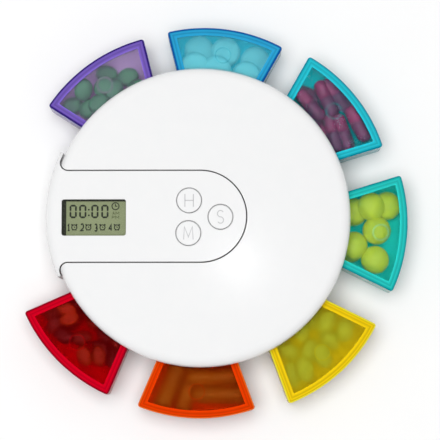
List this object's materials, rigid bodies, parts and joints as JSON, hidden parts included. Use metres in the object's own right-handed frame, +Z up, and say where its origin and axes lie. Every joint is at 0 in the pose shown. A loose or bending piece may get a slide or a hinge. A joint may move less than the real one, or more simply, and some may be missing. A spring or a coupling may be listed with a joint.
{
  "type": "electronic pill box",
  "caption": "Round weekly pill box: white crowned housing, tinted lidded wedge trays that pull out around its rim, and a slide-out timer with display and push buttons.",
  "frame": {"origin": "on the disc's axis, on the plane that the feet stand on", "axes": "+Z up through the cover, -X the way the timer slides out, +Y to the side with the blue and purple trays"},
  "size_m": [0.1585, 0.1628, 0.0271],
  "materials": {
    "white_gloss": "smooth glossy moulded white",
    "white_abs": "satin moulded white",
    "zinc_screw": "zinc plated",
    "grey_rubber": "matt rubber",
    "clear_lens": "clear moulded pane",
    "display_glass": "grey-green liquid crystal panel",
    "reflector_foil": "satin foil",
    "strip_rubber": "layered conductive rubber",
    "board_green": "green solder mask",
    "black_resin": "glossy resin",
    "plated_can": "plated can",
    "ceramic_parts": "ceramic",
    "black_plastic": "moulded black",
    "cell_steel": "bright steel",
    "spring_steel": "nickel plated strip",
    "tinted_red": "translucent tinted, lightly frosted",
    "tinted_orange": "translucent tinted, lightly frosted",
    "tinted_yellow": "translucent tinted, lightly frosted",
    "tinted_teal": "translucent tinted, lightly frosted",
    "tinted_cyan": "translucent tinted, lightly frosted",
    "tinted_blue": "translucent tinted, lightly frosted",
    "tinted_purple": "translucent tinted, lightly frosted"
  },
  "bodies": {
    "housing": {"base": "white_abs", "cover": "white_gloss", "housing_screws": "zinc_screw", "rubber_feet": "grey_rubber"},
    "timer": {"timer_upper_case": "white_gloss", "timer_lower_case": "white_abs", "timer_screws": "zinc_screw", "window_lens": "clear_lens", "display_panel": "display_glass", "display_reflector": "reflector_foil", "conductive_strips": "strip_rubber", "circuit_board": "board_green", "chip_blob": "black_resin", "crystal_can": "plated_can", "board_parts": "ceramic_parts", "buzzer": "black_plastic", "keypad": "grey_rubber", "battery_cell": "cell_steel", "battery_contact_plus": "spring_steel", "battery_contact_minus": "spring_steel"},
    "battery_door_body": {"battery_door": "white_abs"},
    "hour_button": {"button_hour": "white_gloss"},
    "minute_button": {"button_minute": "white_gloss"},
    "set_button": {"button_set": "white_gloss"},
    "red_tray": {"tray_red": "tinted_red", "lid_red": "tinted_red"},
    "orange_tray": {"tray_orange": "tinted_orange", "lid_orange": "tinted_orange"},
    "yellow_tray": {"tray_yellow": "tinted_yellow", "lid_yellow": "tinted_yellow"},
    "teal_tray": {"tray_teal": "tinted_teal", "lid_teal": "tinted_teal"},
    "cyan_tray": {"tray_cyan": "tinted_cyan", "lid_cyan": "tinted_cyan"},
    "blue_tray": {"tray_blue": "tinted_blue", "lid_blue": "tinted_blue"},
    "purple_tray": {"tray_purple": "tinted_purple", "lid_purple": "tinted_purple"}
  },
  "joints": [
    {"name": "timer_slide", "type": "slide", "parent": "housing", "child": "timer", "axis": [-1, 0, 0], "range_m": [0, 0.085]},
    {"name": "battery_door_turn", "type": "hinge", "parent": "timer", "child": "battery_door_body", "pos_m": [-0.0461, 0, 0.0017], "axis": [0, 0, 1], "range_deg": [0, 45]},
    {"name": "hour_button_press", "type": "slide", "parent": "timer", "child": "hour_button", "axis": [0, 0, -1], "range_m": [0, 0.0006], "stiffness_N_per_m": 300, "deforming": ["keypad"]},
    {"name": "minute_button_press", "type": "slide", "parent": "timer", "child": "minute_button", "axis": [0, 0, -1], "range_m": [0, 0.0006], "stiffness_N_per_m": 300, "deforming": ["keypad"]},
    {"name": "set_button_press", "type": "slide", "parent": "timer", "child": "set_button", "axis": [0, 0, -1], "range_m": [0, 0.0006], "stiffness_N_per_m": 300, "deforming": ["keypad"]},
    {"name": "red_tray_slide", "type": "slide", "parent": "housing", "child": "red_tray", "axis": [-0.7034, -0.7108, 0], "range_m": [-0.0156, 0.0244]},
    {"name": "orange_tray_slide", "type": "slide", "parent": "housing", "child": "orange_tray", "axis": [-0.0227, -0.9997, 0], "range_m": [-0.0149, 0.0251]},
    {"name": "yellow_tray_slide", "type": "slide", "parent": "housing", "child": "yellow_tray", "axis": [0.6704, -0.742, 0], "range_m": [-0.0181, 0.0219]},
    {"name": "teal_tray_slide", "type": "slide", "parent": "housing", "child": "teal_tray", "axis": [0.9969, -0.0785, 0], "range_m": [-0.018, 0.022]},
    {"name": "cyan_tray_slide", "type": "slide", "parent": "housing", "child": "cyan_tray", "axis": [0.7782, 0.628, 0], "range_m": [-0.0144, 0.0256]},
    {"name": "blue_tray_slide", "type": "slide", "parent": "housing", "child": "blue_tray", "axis": [0.134, 0.991, 0], "range_m": [-0.012, 0.028]},
    {"name": "purple_tray_slide", "type": "slide", "parent": "housing", "child": "purple_tray", "axis": [-0.5835, 0.8121, 0], "range_m": [-0.0117, 0.0283]}
  ]
}
